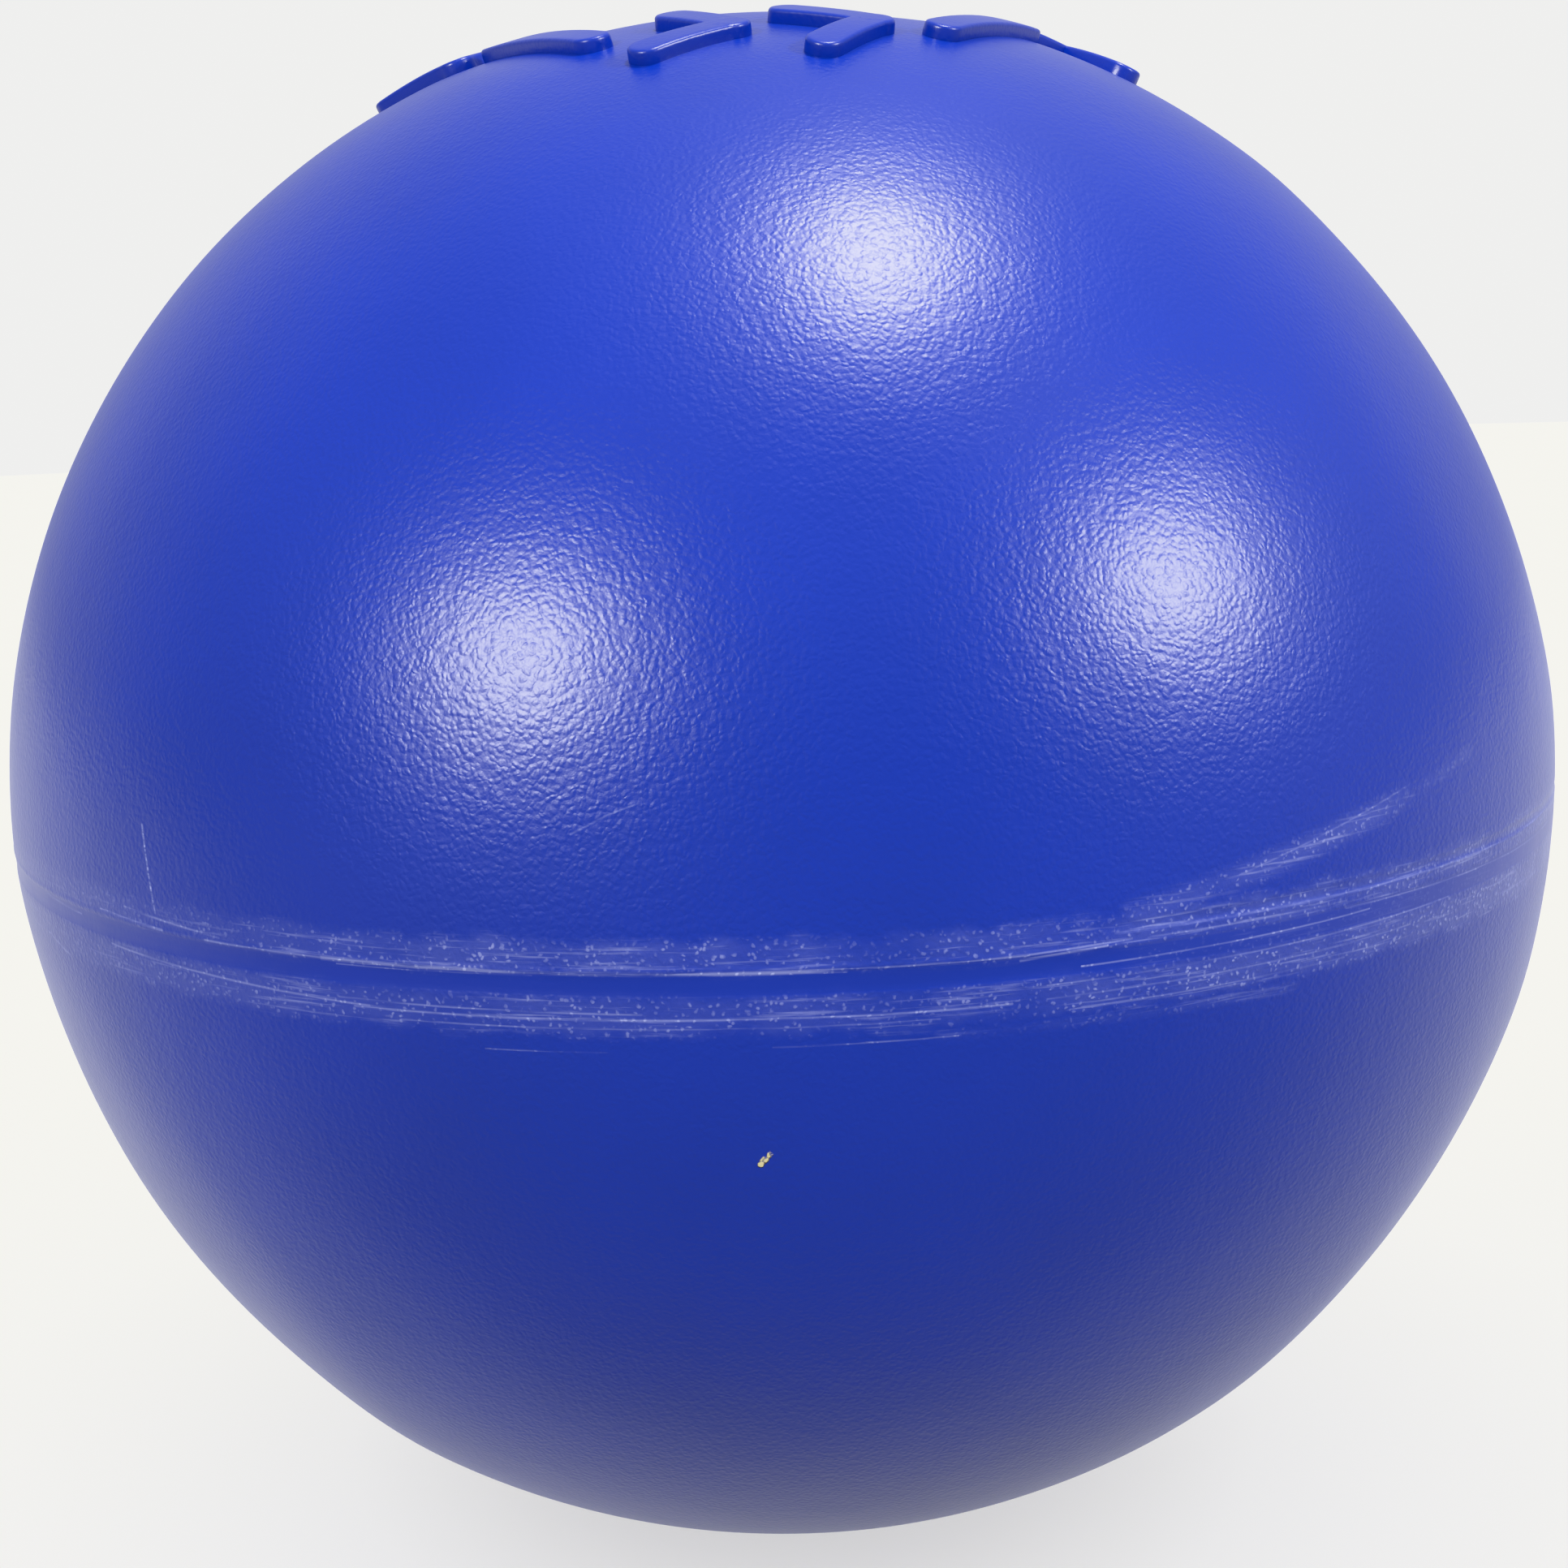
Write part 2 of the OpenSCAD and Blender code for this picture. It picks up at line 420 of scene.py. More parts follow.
@once
def skin_tree():
    """Geometry tree of a moulded half: its turned wall, pressed in at the dents."""
    inputs = [("Geometry", SHAPE, None), ("Material", FINISH, None)]
    tree, given = new_group("Moulded half", GEOMETRY, inputs, [("Geometry", SHAPE)])
    dented = add(tree, SHAPE_GROUP, {"Geometry": given["Geometry"]}, node_tree=dents_group())
    return finish_tree(tree, dented, given)


@once
def sand_tree():
    """Geometry tree of the sand: low heaps and hollows on its open surface."""
    tree, given = new_group(
        "Loose sand", GEOMETRY,
        [("Geometry", SHAPE, None), ("Heap Height", NUMBER, 2.4 * MM), ("Heap Width", NUMBER, 14 * MM),
         ("Material", FINISH, None)],
        [("Geometry", SHAPE)])
    place = add(tree, "GeometryNodeInputPosition")
    open_face = add(tree, RANGE, {"Value": add(tree, SPLIT, [place])["Z"], "From Min": SAND_TOP - 0.1 * MM,
                                  "From Max": SAND_TOP})
    scale = add(tree, MATH, [1.0, given["Heap Width"]], operation="DIVIDE")
    heaps = add(tree, NOISE, {"Vector": place, "Scale": scale, "Detail": 3.0})
    centred = add(tree, MATH, [heaps, 0.5], operation="SUBTRACT")
    lift = add(tree, MATH, [centred, given["Heap Height"]], operation="MULTIPLY")
    offset = add(tree, JOIN, {"Z": add(tree, MATH, [lift, open_face], operation="MULTIPLY")})
    heaped = add(tree, "GeometryNodeSetPosition", {"Geometry": given["Geometry"], "Offset": offset})
    return finish_tree(tree, heaped, given)


# Half of the straight middle of a stroke before it is stretched to its length.
STROKE_HALF = 2 * MM


@once
def stroke_tree():
    """Geometry tree of one row of raised strokes.

    The given stroke is stretched to length, laid out flat round the pole at equal turns, wrapped
    onto the ball and pressed in with it at the dents."""
    tree, given = new_group(
        "Row of strokes", GEOMETRY,
        [("Geometry", SHAPE, None), ("Length", NUMBER, 8.6 * MM), ("Repeats", WHOLE, 4),
         ("First Turn", NUMBER, 0.0), ("From Pole", NUMBER, 0.4), ("Lean", NUMBER, 0.8),
         ("Alternate", NUMBER, 0.0), ("Material", FINISH, None)],
        [("Geometry", SHAPE)])

    # The straight middle is stretched, and the round ends only move apart.
    x = add(tree, SPLIT, [add(tree, "GeometryNodeInputPosition")])["X"]
    along = add(tree, RANGE, {"Value": x, "From Min": -STROKE_HALF, "From Max": STROKE_HALF,
                              "To Min": -1.0})
    half = add(tree, MATH, [given["Length"], 2.0], operation="DIVIDE")
    extra = add(tree, MATH, [half, STROKE_HALF], operation="SUBTRACT")
    stretch = add(tree, JOIN, {"X": add(tree, MATH, [along, extra], operation="MULTIPLY")})
    stroke = add(tree, "GeometryNodeSetPosition", {"Geometry": given["Geometry"], "Offset": stretch})

    index = add(tree, "GeometryNodeInputIndex")
    step = add(tree, MATH, [2 * math.pi, given["Repeats"]], operation="DIVIDE")
    turn = add(tree, MATH, [index, step, given["First Turn"]], operation="MULTIPLY_ADD")
    reach = add(tree, MATH, [given["From Pole"], BALL_R], operation="MULTIPLY")
    heading = add(tree, JOIN, {"X": add(tree, MATH, [turn], operation="COSINE"),
                               "Y": add(tree, MATH, [turn], operation="SINE")})
    spoke = add(tree, VECTOR, {"Vector": heading, "Scale": reach}, operation="SCALE")
    # Every other stroke leans the other way where Alternate is 1.
    odd = add(tree, MATH, [add(tree, MATH, [index, 2.0], operation="MODULO"), given["Alternate"]],
              operation="MULTIPLY")
    sign = add(tree, RANGE, {"Value": odd, "To Min": 1.0, "To Max": -1.0})
    lean = add(tree, MATH, [given["Lean"], sign, math.pi / 2], operation="MULTIPLY_ADD")
    spin = add(tree, JOIN, {"Z": add(tree, MATH, [turn, lean], operation="ADD")})
    points = add(tree, "GeometryNodePoints", {"Count": given["Repeats"], "Position": spoke})
    rows = add(tree, "GeometryNodeInstanceOnPoints", {
        "Points": points, "Instance": stroke, "Rotation": add(tree, "FunctionNodeEulerToRotation", [spin])})
    flat = add(tree, "GeometryNodeRealizeInstances", [rows])

    # Distance from the pole on the flat layout becomes an angle, and height a radius.
    place = add(tree, "GeometryNodeInputPosition")
    level = add(tree, VECTOR, [place, (1.0, 1.0, 0.0)], operation="MULTIPLY")
    span = add(tree, VECTOR, [level], operation="LENGTH")
    bend = add(tree, MATH, [span, BALL_R], operation="DIVIDE")
    radius = add(tree, MATH, [add(tree, SPLIT, [place])["Z"], ARC_R], operation="ADD")
    outward = add(tree, MATH, [radius, add(tree, MATH, [bend], operation="SINE"), POLE_DROP],
                  operation="MULTIPLY_ADD")
    upward = add(tree, MATH, [radius, add(tree, MATH, [bend], operation="COSINE"), EQUATOR_Z],
                 operation="MULTIPLY_ADD")
    inwards = add(tree, MATH, [outward, span], operation="DIVIDE")
    drawn_in = add(tree, VECTOR, {"Vector": level, "Scale": inwards}, operation="SCALE")
    wrapped = add(tree, VECTOR, [drawn_in, add(tree, JOIN, {"Z": upward})], operation="ADD")
    curved = add(tree, "GeometryNodeSetPosition", {"Geometry": flat, "Position": wrapped})
    return finish_tree(tree, add(tree, SHAPE_GROUP, [curved], node_tree=dents_group()), given)


@once
def along_weld_group():
    """Geometry group: noise from -0.5 to 0.5 that changes only along the weld, in lengths of a width."""
    tree, given = new_group("Along the weld", GEOMETRY, [("Width", NUMBER, 10 * MM), ("Seed", NUMBER, 0.0)],
                            [("Noise", NUMBER)])
    place = add(tree, "GeometryNodeInputPosition")
    level = add(tree, VECTOR, [place, (1.0, 1.0, 0.0)], operation="MULTIPLY")
    scale = add(tree, MATH, [1.0, given["Width"]], operation="DIVIDE")
    noise = add(tree, NOISE, {"Vector": level, "W": given["Seed"], "Scale": scale, "Detail": 2.0},
                noise_dimensions="4D")
    add(tree, "NodeGroupOutput", [add(tree, MATH, [noise, 0.5], operation="SUBTRACT")])
    return tree


@once
def weld_tree():
    """Geometry tree of the weld: a lip, and a band beside it that the trimming knife has pared back."""
    tree, given = new_group(
        "Trimmed weld", GEOMETRY,
        [("Geometry", SHAPE, None), ("Trim Depth", NUMBER, 0.07 * MM), ("Lip Height", NUMBER, 0.05 * MM),
         ("Material", FINISH, None)],
        [("Geometry", SHAPE)])
    place = add(tree, VECTOR, [add(tree, "GeometryNodeInputPosition"), CENTRE], operation="SUBTRACT")
    parts = add(tree, SPLIT, [place])
    radius = add(tree, VECTOR, [add(tree, VECTOR, [place, (1.0, 1.0, 0.0)], operation="MULTIPLY")],
                 operation="LENGTH")
    # Only the outer face is worked, so the root of the weld's V stays put.
    skin = add(tree, RANGE, {"Value": radius, "From Min": BALL_R - 1.2 * MM, "From Max": BALL_R - 0.9 * MM})
    wander = add(tree, SHAPE_GROUP, [24 * MM, 1.0], node_tree=along_weld_group())
    height = add(tree, MATH, [wander, 0.5 * MM, parts["Z"]], operation="MULTIPLY_ADD")
    right = add(tree, RANGE, {"Value": parts["X"], "From Min": 20 * MM, "From Max": 30 * MM})
    left = add(tree, MATH, [1.0, right], operation="SUBTRACT")

    # Each feature: its lowest and highest edge and softness in mm, the side of the ball that has it,
    # the width in mm and strength of its unevenness along the weld, and how far it stands out.
    trim = add(tree, MATH, [given["Trim Depth"], -1.0], operation="MULTIPLY")
    lip = given["Lip Height"]
    features = [(-2.30, -1.05, 0.40, left, 7.0, 0.9, trim), (0.25, 1.00, 0.25, right, 9.0, 1.4, trim),
                (-0.70, -0.45, 0.15, left, 1.6, 1.2, lip), (0.12, 0.32, 0.15, right, 1.6, 1.2, lip)]
    total = 0.0
    for seed, (low, high, soft, side, width, uneven, size) in enumerate(features):
        band = add(tree, SHAPE_GROUP, [height, low * MM, high * MM, soft * MM],
                   node_tree=band_group(GEOMETRY))
        noise = add(tree, SHAPE_GROUP, [width * MM, seed + 2.0], node_tree=along_weld_group())
        ragged = add(tree, MATH, [noise, uneven, 0.8], operation="MULTIPLY_ADD")
        shown = add(tree, MATH, [band, side], operation="MULTIPLY")
        shown = add(tree, MATH, [shown, ragged], operation="MULTIPLY")
        total = add(tree, MATH, [shown, size, total], operation="MULTIPLY_ADD")
    # The weld's edges stay level with the skin beside them.
    inside = add(tree, SHAPE_GROUP, [parts["Z"], -2.8 * MM, 2.8 * MM, 0.15 * MM],
                 node_tree=band_group(GEOMETRY))
    worked = add(tree, MATH, [inside, skin], operation="MULTIPLY")
    relief = add(tree, MATH, [total, worked], operation="MULTIPLY")
    outwards = add(tree, VECTOR, [place], operation="NORMALIZE")
    offset = add(tree, VECTOR, {"Vector": outwards, "Scale": relief}, operation="SCALE")
    cut = add(tree, "GeometryNodeSetPosition", {"Geometry": given["Geometry"], "Offset": offset})
    return finish_tree(tree, add(tree, SHAPE_GROUP, [cut], node_tree=dents_group()), given)


# ---------------------------------------------------------------- materials

# Broad rubbed places and fine scratches on the skin, and one painted highlight. Each has its start and
# end, as degrees round from the front and mm above the weld's middle, then its width in mm and its
# strength.
RUBS = [
    (19, 1.3, 40, 6.6, 3.0, 0.9),
    (36, 5.4, 47, 8.6, 1.6, 0.45),
    (20, -1.4, 62, -2.2, 5.0, 0.8),
    (8, -5.9, 30, -6.0, 1.4, 0.5),
]
SCRATCHES_AND_EDGE_HIGHLIGHT = [
    (-47, -0.25, -40, -0.60, 0.34, 0.8),
    (-44, 0.55, -35, -0.25, 0.30, 0.55),
    (-36, -0.66, -24, -0.72, 0.30, 0.65),
    # This line along the top of the trimmed strip is a scratch and also a painted highlight of the weld's
    # edge.
    (-27, -0.72, 3, -0.76, 0.50, 1.0),
    (-26, -1.05, -14, -0.98, 0.20, 0.45),
    (2, -0.70, 13, -0.66, 0.24, 0.65),
    (12.5, -0.98, 17.5, -0.58, 0.34, 0.9),
    (13, -0.62, 19, -0.30, 0.26, 0.7),
    (-56, -1.0, -50, -1.3, 0.34, 0.5),
    (18, 0.22, 62, 0.30, 0.30, 0.5),
    (20, -0.35, 34, -0.30, 0.24, 0.5),
    (-46, -2.9, -24, -4.00, 0.30, 0.6),
    (-26, -3.55, -8, -3.70, 0.24, 0.55),
    (-25, -4.15, 12, -4.10, 0.30, 0.75),
    (-22, -4.80, 8, -4.75, 0.24, 0.5),
    (-1, -6.2, 9, -6.1, 0.24, 0.5),
    (-17, -6.6, -10, -6.55, 0.20, 0.4),
    (16, -1.9, 36, -1.4, 0.24, 0.6),
    (14, -3.0, 44, -2.4, 0.24, 0.5),
    (14, -4.0, 40, -3.6, 0.24, 0.5),
    (16, -4.9, 34, -4.7, 0.24, 0.45),
    (34, -0.9, 64, -1.2, 0.24, 0.55),
    (26, 3.2, 40, 7.4, 0.26, 0.4),
    (-41.6, 7.4, -40.6, 0.7, 0.36, 0.8),
    (-11.5, 9.1, -9.5, 10.4, 0.26, 0.3),
    (-9.5, 10.4, -7.8, 11.2, 0.24, 0.3),
    (-57, -4.6, -53, -5.6, 0.36, 0.6),
]
# The chip of straw-coloured dirt: its two ends in mm round from the front and above the weld's middle.
STRAW = ((-2.55, -15.27, 0.0), (-1.85, -14.43, 0.0))
STRAW_WIDTH = 0.80


@once
def place_group():
    """Shader group: where a point is, in mm, round from the front and above the weld's middle."""
    outputs = [("Place", ARROW), ("Flat", ARROW), ("Height", NUMBER)]
    tree, _ = new_group("Place on the skin", SHADER, [], outputs)
    raw = add(tree, "ShaderNodeTexCoord")["Object"]
    centred = add(tree, VECTOR, [raw, CENTRE], operation="SUBTRACT")
    place = add(tree, VECTOR, {"Vector": centred, "Scale": 1 / MM}, operation="SCALE")
    parts = add(tree, SPLIT, [place])
    turn = add(tree, MATH, [parts["X"], add(tree, MATH, [parts["Y"], -1.0], operation="MULTIPLY")],
               operation="ARCTAN2")
    around = add(tree, MATH, [turn, BALL_R / MM], operation="MULTIPLY")
    flat = add(tree, JOIN, {"X": around, "Y": parts["Z"]})
    add(tree, "NodeGroupOutput", [place, flat, parts["Z"]])
    return tree


@once
def grain_group():
    """Shader group: the leather grain of the mould, as small rounded cells broken up by fine creases."""
    tree, given = new_group("Leather grain", SHADER, [("Place", ARROW, None), ("Pitch", NUMBER, 0.46)],
                            [("Height", NUMBER), ("Peaks", NUMBER)])
    scaled = add(tree, VECTOR, [given["Place"], given["Pitch"]], operation="DIVIDE")
    push = add(tree, NOISE, {"Vector": scaled, "Scale": 0.45, "Detail": 2.0})["Color"]
    warped = add(tree, VECTOR, [push, (1.6, 1.6, 1.6), scaled], operation="MULTIPLY_ADD")
    cells = add(tree, CELLS, {"Vector": warped, "Scale": 1.0, "Smoothness": 0.35}, feature="SMOOTH_F1")
    dome = add(tree, RANGE, {"Value": cells["Distance"], "From Min": 0.75, "From Max": 0.10})
    creases = add(tree, NOISE, {"Vector": scaled, "Scale": 1.9, "Detail": 2.0, "Roughness": 0.55})
    height = add(tree, BLEND, {"Factor": 0.35, "A": dome, "B": creases})
    peaks = add(tree, RANGE, {"Value": height, "From Min": 0.57, "From Max": 0.74})
    add(tree, "NodeGroupOutput", [height, peaks])
    return tree


@once
def scuff_group():
    """Shader group: one scuff between two points of the skin's flat map, with soft edges."""
    tree, given = new_group(
        "Scuff", SHADER,
        [("Flat", ARROW, None), ("Start", ARROW, None), ("End", ARROW, None), ("Width", NUMBER, 0.2),
         ("Strength", NUMBER, 1.0)],
        [("Mask", NUMBER)])
    reach = add(tree, VECTOR, [given["End"], given["Start"]], operation="SUBTRACT")
    here = add(tree, VECTOR, [given["Flat"], given["Start"]], operation="SUBTRACT")
    products = [add(tree, VECTOR, [other, reach], operation="DOT_PRODUCT") for other in (here, reach)]
    share_along = add(tree, MATH, products, operation="DIVIDE", use_clamp=True)
    nearest = add(tree, VECTOR, {"Vector": reach, "Scale": share_along}, operation="SCALE")
    apart = add(tree, VECTOR, [here, nearest], operation="DISTANCE")
    half = add(tree, MATH, [given["Width"], 2.0], operation="DIVIDE")
    mask = add(tree, RANGE, {"Value": apart, "From Min": half, "From Max": 0.0},
               interpolation_type="SMOOTHSTEP")
    add(tree, "NodeGroupOutput", [add(tree, MATH, [mask, given["Strength"]], operation="MULTIPLY")])
    return tree


@once
def wear_group():
    """Shader group: whitening by trimming, rubbing and scratches, and a painted highlight on the weld."""
    tree, given = new_group(
        "Wear", SHADER,
        [("Place", ARROW, None), ("Flat", ARROW, None), ("Height", NUMBER, 0.0), ("Peaks", NUMBER, 0.0)],
        [("Haze", NUMBER), ("Marks", NUMBER)])
    # Streaks run round the ball, and patches make every mark come and go.
    drawn_out = add(tree, VECTOR, [given["Place"], (1 / 7.0, 1 / 7.0, 1 / 0.30)], operation="MULTIPLY")
    streaks = add(tree, NOISE, {"Vector": drawn_out, "Scale": 1.0, "Detail": 3.0, "Roughness": 0.6})
    patches = add(tree, NOISE, {"Vector": given["Place"], "Scale": 0.13, "Detail": 3.0})
    patchy = add(tree, RANGE, {"Value": patches, "From Min": 0.34, "From Max": 0.60, "To Min": 0.25})
    scatter = add(tree, NOISE, {"Vector": given["Place"], "Scale": 0.9, "Detail": 2.0})
    sparse = add(tree, RANGE, {"Value": scatter, "From Min": 0.34, "From Max": 0.56})
    wander = add(tree, NOISE, {"Vector": given["Place"], "Scale": 0.45, "Detail": 4.0})
    uneven = add(tree, MATH, [wander, 0.5], operation="SUBTRACT")
    height = add(tree, MATH, [uneven, 1.8, given["Height"]], operation="MULTIPLY_ADD")

    # The wear is full over the front right, and fainter on the left and round the back.
    turned = add(tree, SPLIT, [given["Flat"]])["X"]
    fading = add(tree, MATH, [
        add(tree, RANGE, {"Value": turned, "From Min": -70.0, "From Max": -22.0, "To Min": 0.3}),
        add(tree, RANGE, {"Value": turned, "From Min": 190.0, "From Max": 100.0, "To Min": 0.3})],
        operation="MINIMUM")

    # The two bands beside the trimmed strip, then the broader rubs.
    upper = add(tree, PAINT_GROUP, [height, -0.85, 1.5, 0.6], node_tree=band_group(SHADER))
    lower = add(tree, PAINT_GROUP, [height, -5.2, -2.5, 0.6], node_tree=band_group(SHADER))
    bands = add(tree, MATH, [upper, lower], operation="MAXIMUM")
    trimmed = add(tree, PAINT_GROUP, [given["Height"], -2.4, -0.9, 0.1], node_tree=band_group(SHADER))
    clear = add(tree, RANGE, {"Value": trimmed, "To Min": 1.0, "To Max": 0.25})
    rubbed = add(tree, MATH, [bands, fading], operation="MULTIPLY")
    for kind, table in (("rub", RUBS), ("scratch_and_highlight", SCRATCHES_AND_EDGE_HIGHLIGHT)):
        marks = 0.0
        for turn_0, high_0, turn_1, high_1, width, strength in table:
            ends = [(math.radians(turn) * BALL_R / MM, high, 0.0)
                    for turn, high in ((turn_0, high_0), (turn_1, high_1))]
            one = add(tree, PAINT_GROUP, [given["Flat"], *ends, width, strength], node_tree=scuff_group())
            marks = add(tree, MATH, [marks, one], operation="MAXIMUM")
        if kind == "rub":
            rubbed = add(tree, MATH, [rubbed, marks], operation="MAXIMUM")
    haze = add(tree, MATH, [rubbed, patchy], operation="MULTIPLY")
    haze = add(tree, MATH, [haze, clear], operation="MULTIPLY")

    # Whitened grain peaks, faint streaks, and scratches that break up over the grain, one of them also a
    # painted highlight.
    speckle = add(tree, MATH, [haze, given["Peaks"]], operation="MULTIPLY")
    speckle = add(tree, MATH, [speckle, sparse], operation="MULTIPLY")
    speckle = add(tree, MATH, [speckle, 0.38], operation="MULTIPLY")
    faint = add(tree, RANGE, {"Value": streaks, "From Min": 0.56, "From Max": 0.72, "To Max": 0.34})
    faint = add(tree, MATH, [faint, haze], operation="MULTIPLY")
    gaps = add(tree, RANGE, {"Value": streaks, "From Min": 0.40, "From Max": 0.56, "To Min": 0.15})
    over_grain = add(tree, RANGE, {"Value": given["Peaks"], "To Min": 0.42, "To Max": 1.0})
    broken = add(tree, MATH, [marks, gaps], operation="MULTIPLY")
    broken = add(tree, MATH, [broken, over_grain], operation="MULTIPLY")
    whitest = add(tree, MATH, [speckle, faint], operation="MAXIMUM")
    add(tree, "NodeGroupOutput", [haze, add(tree, MATH, [whitest, broken], operation="MAXIMUM")])
    return tree


def blank(name):
    """A new material's tree, empty."""
    material = bpy.data.materials.new(name)
    material.use_nodes = True
    material.node_tree.nodes.clear()
    return material, material.node_tree


def end_material(tree, tone, rough, relief=None, more=()):
    """Ends a material's tree with its colour, roughness, relief in mm and any other inputs."""
    inputs = {"Base Color": tone, "Roughness": rough, **dict(more)}
    if relief is not None:
        inputs["Normal"] = add(tree, "ShaderNodeBump", {"Distance": MM, "Height": relief})
    shader = add(tree, "ShaderNodeBsdfPrincipled", inputs)
    add(tree, "ShaderNodeOutputMaterial", {"Surface": shader})


def shade(tone, *factors):
    """A linear colour with its parts scaled, all alike or one by one."""
    return tuple(c * f for c, f in zip(tone, factors * 3 if len(factors) == 1 else factors)) + (1.0,)


# Refractive index of softened and of rigid PVC.
VINYL_IOR = {"IOR": 1.53}
# Each soft vinyl's name, and how much of the grain's height it keeps.
VINYLS = {
    "skin": ("Soft vinyl, moulded with leather grain", 1.0),
    "weld": ("Soft vinyl, trimmed weld", 1.0),
    "strokes": ("Soft vinyl, raised strokes", 0.45),
}


# Softened PVC, rotationally moulded in a mould that is etched with a leather grain. Its pigment is
# deep and its gloss is low, and the grain breaks each reflection of a lamp into sparkling points.
# Rubbing and the trimming knife whiten it, and one pale line along the weld is also a painted highlight.
# Weld vinyl is the same where the knife pared the grain away.
@once
def vinyl(kind):
    """Soft vinyl of the skin, the trimmed weld or the smoother raised strokes."""
    finish = bpy.context.scene.skin_finish
    name, keep = VINYLS[kind]
    material, tree = blank(name)
    where = add(tree, PAINT_GROUP, node_tree=place_group())
    grain = add(tree, PAINT_GROUP, [where["Place"], finish.grain_pitch / MM], node_tree=grain_group())
    wear = add(tree, PAINT_GROUP, [where["Place"], where["Flat"], where["Height"], grain["Peaks"]],
               node_tree=wear_group())
    pared = add(tree, PAINT_GROUP, [where["Height"], -2.4, -0.8, 0.12], node_tree=band_group(SHADER))
    straw = add(tree, PAINT_GROUP, [where["Flat"], *STRAW, STRAW_WIDTH, 1.0], node_tree=scuff_group())
    ragged = add(tree, MATH, [grain["Height"], straw], operation="MULTIPLY")
    chip = add(tree, RANGE, {"Value": ragged, "From Min": 0.10, "From Max": 0.26})

    # Colour: faint clouds in the pigment, then the haze, the marks and the chip over it.
    clouds = add(tree, NOISE, {"Vector": where["Place"], "Scale": 0.05, "Detail": 3.0})
    body = add(tree, BLEND, {"Factor": clouds, 6: finish.vinyl, 7: finish.vinyl_deep}, data_type="RGBA")
    haze = add(tree, MATH, [wear["Haze"], finish.haze], operation="MULTIPLY")
    hazed = add(tree, BLEND, {"Factor": haze, 6: body, 7: finish.scuffed_and_highlight}, data_type="RGBA")
    # The marks include a painted highlight along the weld's edge, as well as scratches and rubs.
    marked = add(tree, BLEND, {"Factor": wear["Marks"], 6: hazed, 7: finish.scuffed_and_highlight}, data_type="RGBA")
    coloured = add(tree, BLEND, {"Factor": chip, 6: marked, 7: finish.straw}, data_type="RGBA")

    # Relief: the grain, shallower on the strokes and nearly gone where the knife pared it, the mould's
    # own soft waves, and the chip.
    left = add(tree, RANGE, {"Value": pared, "To Min": keep, "To Max": 0.15 * keep})
    grain_mm = add(tree, MATH, [grain["Height"], finish.grain_height / MM], operation="MULTIPLY")
    shown = add(tree, MATH, [grain_mm, left], operation="MULTIPLY")
    ripple = add(tree, NOISE, {"Vector": where["Place"], "Scale": 0.28, "Detail": 1.0})
    relief = add(tree, MATH, [ripple, 0.035, shown], operation="MULTIPLY_ADD")
    relief = add(tree, MATH, [chip, finish.chip_height / MM, relief], operation="MULTIPLY_ADD")
    rough = add(tree, RANGE, {"Value": wear["Marks"], "To Min": finish.roughness, "To Max": 0.55})
    end_material(tree, coloured, rough, relief, VINYL_IOR)
    return material


# Rigid PVC, injection moulded in a spark-eroded mould: an even satin surface, a little darker.
def collar_vinyl():
    """Rigid vinyl of the filler collar."""
    material, tree = blank("Rigid vinyl, moulded collar")
    place = add(tree, PAINT_GROUP, node_tree=place_group())["Place"]
    pits = add(tree, NOISE, {"Vector": place, "Scale": 6.0, "Detail": 2.0})
    relief = add(tree, MATH, [pits, 0.01], operation="MULTIPLY")
    base = bpy.context.scene.skin_finish.collar
    clouds = add(tree, NOISE, {"Vector": place, "Scale": 0.3})
    tone = add(tree, BLEND, {"Factor": clouds, 6: base, 7: shade(base, 0.8)}, data_type="RGBA")
    end_material(tree, tone, 0.36, relief, VINYL_IOR)
    return material


# Natural low-density polyethylene, injection moulded: milky, waxy, and a little see-through at its edges.
def plug_plastic():
    """Natural polyethylene of the filler plug."""
    material, tree = blank("Polyethylene, natural")
    place = add(tree, PAINT_GROUP, node_tree=place_group())["Place"]
    base = bpy.context.scene.skin_finish.plug
    clouds = add(tree, NOISE, {"Vector": place, "Scale": 0.4})
    tone = add(tree, BLEND, {"Factor": clouds, 6: base, 7: shade(base, 1.0, 0.98, 0.90)}, data_type="RGBA")
    ripple = add(tree, NOISE, {"Vector": place, "Scale": 1.2, "Detail": 2.0})
    relief = add(tree, MATH, [ripple, 0.02], operation="MULTIPLY")
    end_material(tree, tone, 0.42, relief, {
        "IOR": 1.51, "Subsurface Weight": 0.15, "Subsurface Radius": (1.0, 0.9, 0.8),
        "Subsurface Scale": 1.0 * MM})
    return material


# Nitrile rubber, compression moulded: black with a soft, slightly dusty sheen.
def seal_rubber():
    """Nitrile rubber of the sealing ring."""
    material, tree = blank("Nitrile rubber, moulded")
    place = add(tree, PAINT_GROUP, node_tree=place_group())["Place"]
    dust = add(tree, NOISE, {"Vector": place, "Scale": 2.5, "Detail": 3.0})
    base = bpy.context.scene.skin_finish.seal
    tone = add(tree, BLEND, {"Factor": dust, 6: base, 7: shade(base, 2.2)}, data_type="RGBA")
    end_material(tree, tone, add(tree, RANGE, {"Value": dust, "To Min": 0.45, "To Max": 0.65}))
    return material


